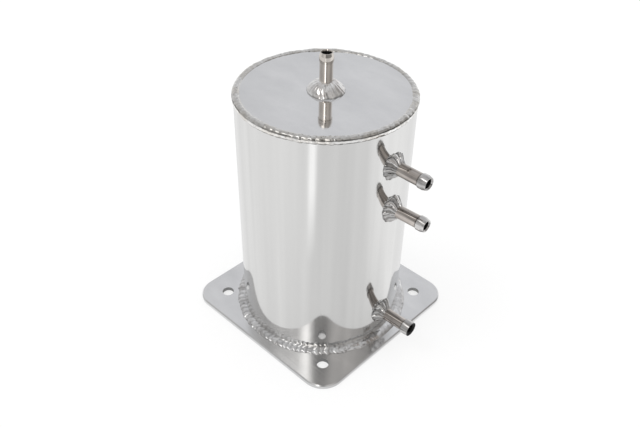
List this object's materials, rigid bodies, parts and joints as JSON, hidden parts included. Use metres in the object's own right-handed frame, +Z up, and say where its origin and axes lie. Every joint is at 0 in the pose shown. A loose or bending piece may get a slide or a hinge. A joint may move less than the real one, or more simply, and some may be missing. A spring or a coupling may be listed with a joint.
{
  "type": "fuel swirl pot",
  "caption": "Round welded aluminium fuel swirl pot on a square bolt-down plate, with a vent hose tail on its lid and hose tails on its side.",
  "frame": {"origin": "centre of the bolt holes, on the underside of the mounting plate", "axes": "+Z up along the tank, +X towards the side hose tails"},
  "size_m": [0.1526, 0.137, 0.2014],
  "materials": {
    "polished_sheet": "polished",
    "turned_tail": "turned and polished",
    "weld": "bright rippled weld"
  },
  "bodies": {
    "root": {"base_plate": "polished_sheet", "tank_tube": "polished_sheet", "lid": "polished_sheet", "vent_tail": "turned_tail", "upper_tail": "turned_tail", "middle_tail": "turned_tail", "lower_tail": "turned_tail", "lid_weld": "weld", "base_weld": "weld", "vent_weld": "weld", "upper_weld": "weld", "middle_weld": "weld", "lower_weld": "weld"}
  },
  "joints": []
}
